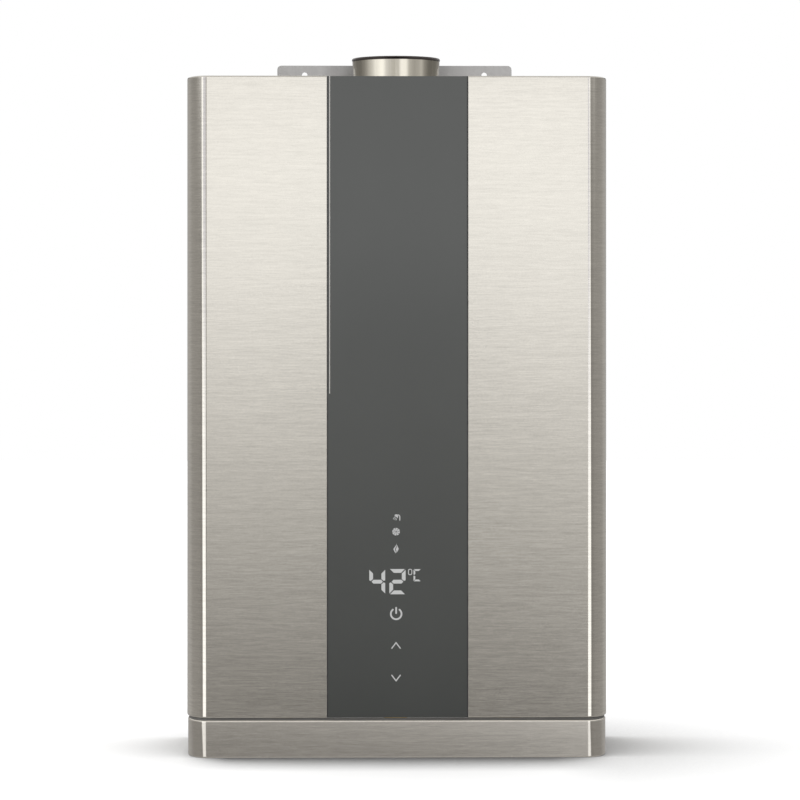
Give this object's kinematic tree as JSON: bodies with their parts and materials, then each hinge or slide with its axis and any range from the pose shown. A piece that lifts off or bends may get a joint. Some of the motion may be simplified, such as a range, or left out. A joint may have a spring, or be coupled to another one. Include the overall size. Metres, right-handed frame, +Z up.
{
  "type": "tankless gas water heater",
  "caption": "Wall-hung instantaneous gas water heater: wrapped brushed-steel cover, dark glass front with a lit display, base skirt, top flue spigot and wall bracket.",
  "frame": {"origin": "centre line of the wall face of the upper wall bracket, level with its two fixing holes", "axes": "+Z up, +Y into the wall, +X to the right as seen from the front; the front faces -Y"},
  "size_m": [0.36, 0.165, 0.601],
  "materials": {
    "brushed_steel": "fine horizontal brushing",
    "dark_glass": "dark back-printed glass, polished",
    "galvanised": "galvanised, faint spangle",
    "zinc_plated": "bright zinc plating",
    "cast_alloy": "die cast, matt",
    "copper": "bright drawn copper, slightly tarnished",
    "brass": "machined",
    "black_plastic": "moulded, fine texture",
    "white_plastic": "moulded",
    "diffuser": "opal",
    "circuit_board": "varnished green",
    "rubber": "matt",
    "ceramic": "glazed"
  },
  "bodies": {
    "cabinet": {"base_trim": "brushed_steel", "back_plate": "galvanised", "top_plate": "galvanised", "bottom_plate": "galvanised", "upper_wall_bracket": "zinc_plated", "lower_wall_bracket": "zinc_plated", "cover_screw_left": "zinc_plated", "cover_screw_right": "zinc_plated", "cable_gland": "black_plastic", "flue_collar": "brushed_steel", "flue_gasket": "rubber", "fan_housing": "galvanised", "fan_motor": "black_plastic", "motor_plate": "galvanised", "exhaust_hood": "galvanised", "pressure_switch": "white_plastic", "heat_exchanger": "copper", "combustion_chamber": "copper", "chamber_coil": "copper", "ignition_electrode": "ceramic", "flame_rod": "ceramic", "thermal_cutout": "zinc_plated", "burner_box": "galvanised", "burner_bar_1": "zinc_plated", "burner_bar_2": "zinc_plated", "burner_bar_3": "zinc_plated", "burner_bar_4": "zinc_plated", "burner_bar_5": "zinc_plated", "burner_bar_6": "zinc_plated", "burner_bar_7": "zinc_plated", "gas_manifold": "cast_alloy", "gas_inlet_fitting": "brass", "gas_valve_body": "cast_alloy", "gas_solenoid_left": "black_plastic", "gas_solenoid_right": "black_plastic", "gas_pipe": "zinc_plated", "water_valve_body": "brass", "inlet_filter_plug": "brass", "hot_outlet_fitting": "brass", "relief_valve": "brass", "inlet_pipe": "copper", "outlet_pipe": "copper", "controller_box": "black_plastic", "control_board": "circuit_board", "controller_lid": "black_plastic", "igniter_module": "black_plastic"},
    "cover": {"front_cover": "brushed_steel", "glass_panel": "dark_glass", "display_light_guide": "diffuser", "display_board": "circuit_board", "display_tray": "black_plastic"},
    "fan_rotor": {"fan_impeller": "cast_alloy", "fan_shaft": "zinc_plated"},
    "turbine": {"flow_turbine": "white_plastic"},
    "plunger_left": {"gas_plunger_left": "zinc_plated"},
    "plunger_right": {"gas_plunger_right": "zinc_plated"}
  },
  "joints": [
    {"name": "cover_slide", "type": "slide", "parent": "cabinet", "child": "cover", "axis": [0, -1, 0], "range_m": [0, 0.18]},
    {"name": "impeller_spin", "type": "hinge", "parent": "cabinet", "child": "fan_rotor", "pos_m": [-0.028, -0.0825, -0.0898], "axis": [0, 1, 0], "continuous": true},
    {"name": "turbine_spin", "type": "hinge", "parent": "cabinet", "child": "turbine", "pos_m": [0.1, -0.07, -0.521], "axis": [0, 0, 1], "continuous": true},
    {"name": "plunger_left_slide", "type": "slide", "parent": "cabinet", "child": "plunger_left", "axis": [0, 1, 0], "range_m": [0, 0.0025], "stiffness_N_per_m": 300},
    {"name": "plunger_right_slide", "type": "slide", "parent": "cabinet", "child": "plunger_right", "axis": [0, 1, 0], "range_m": [0, 0.0025], "stiffness_N_per_m": 300}
  ]
}
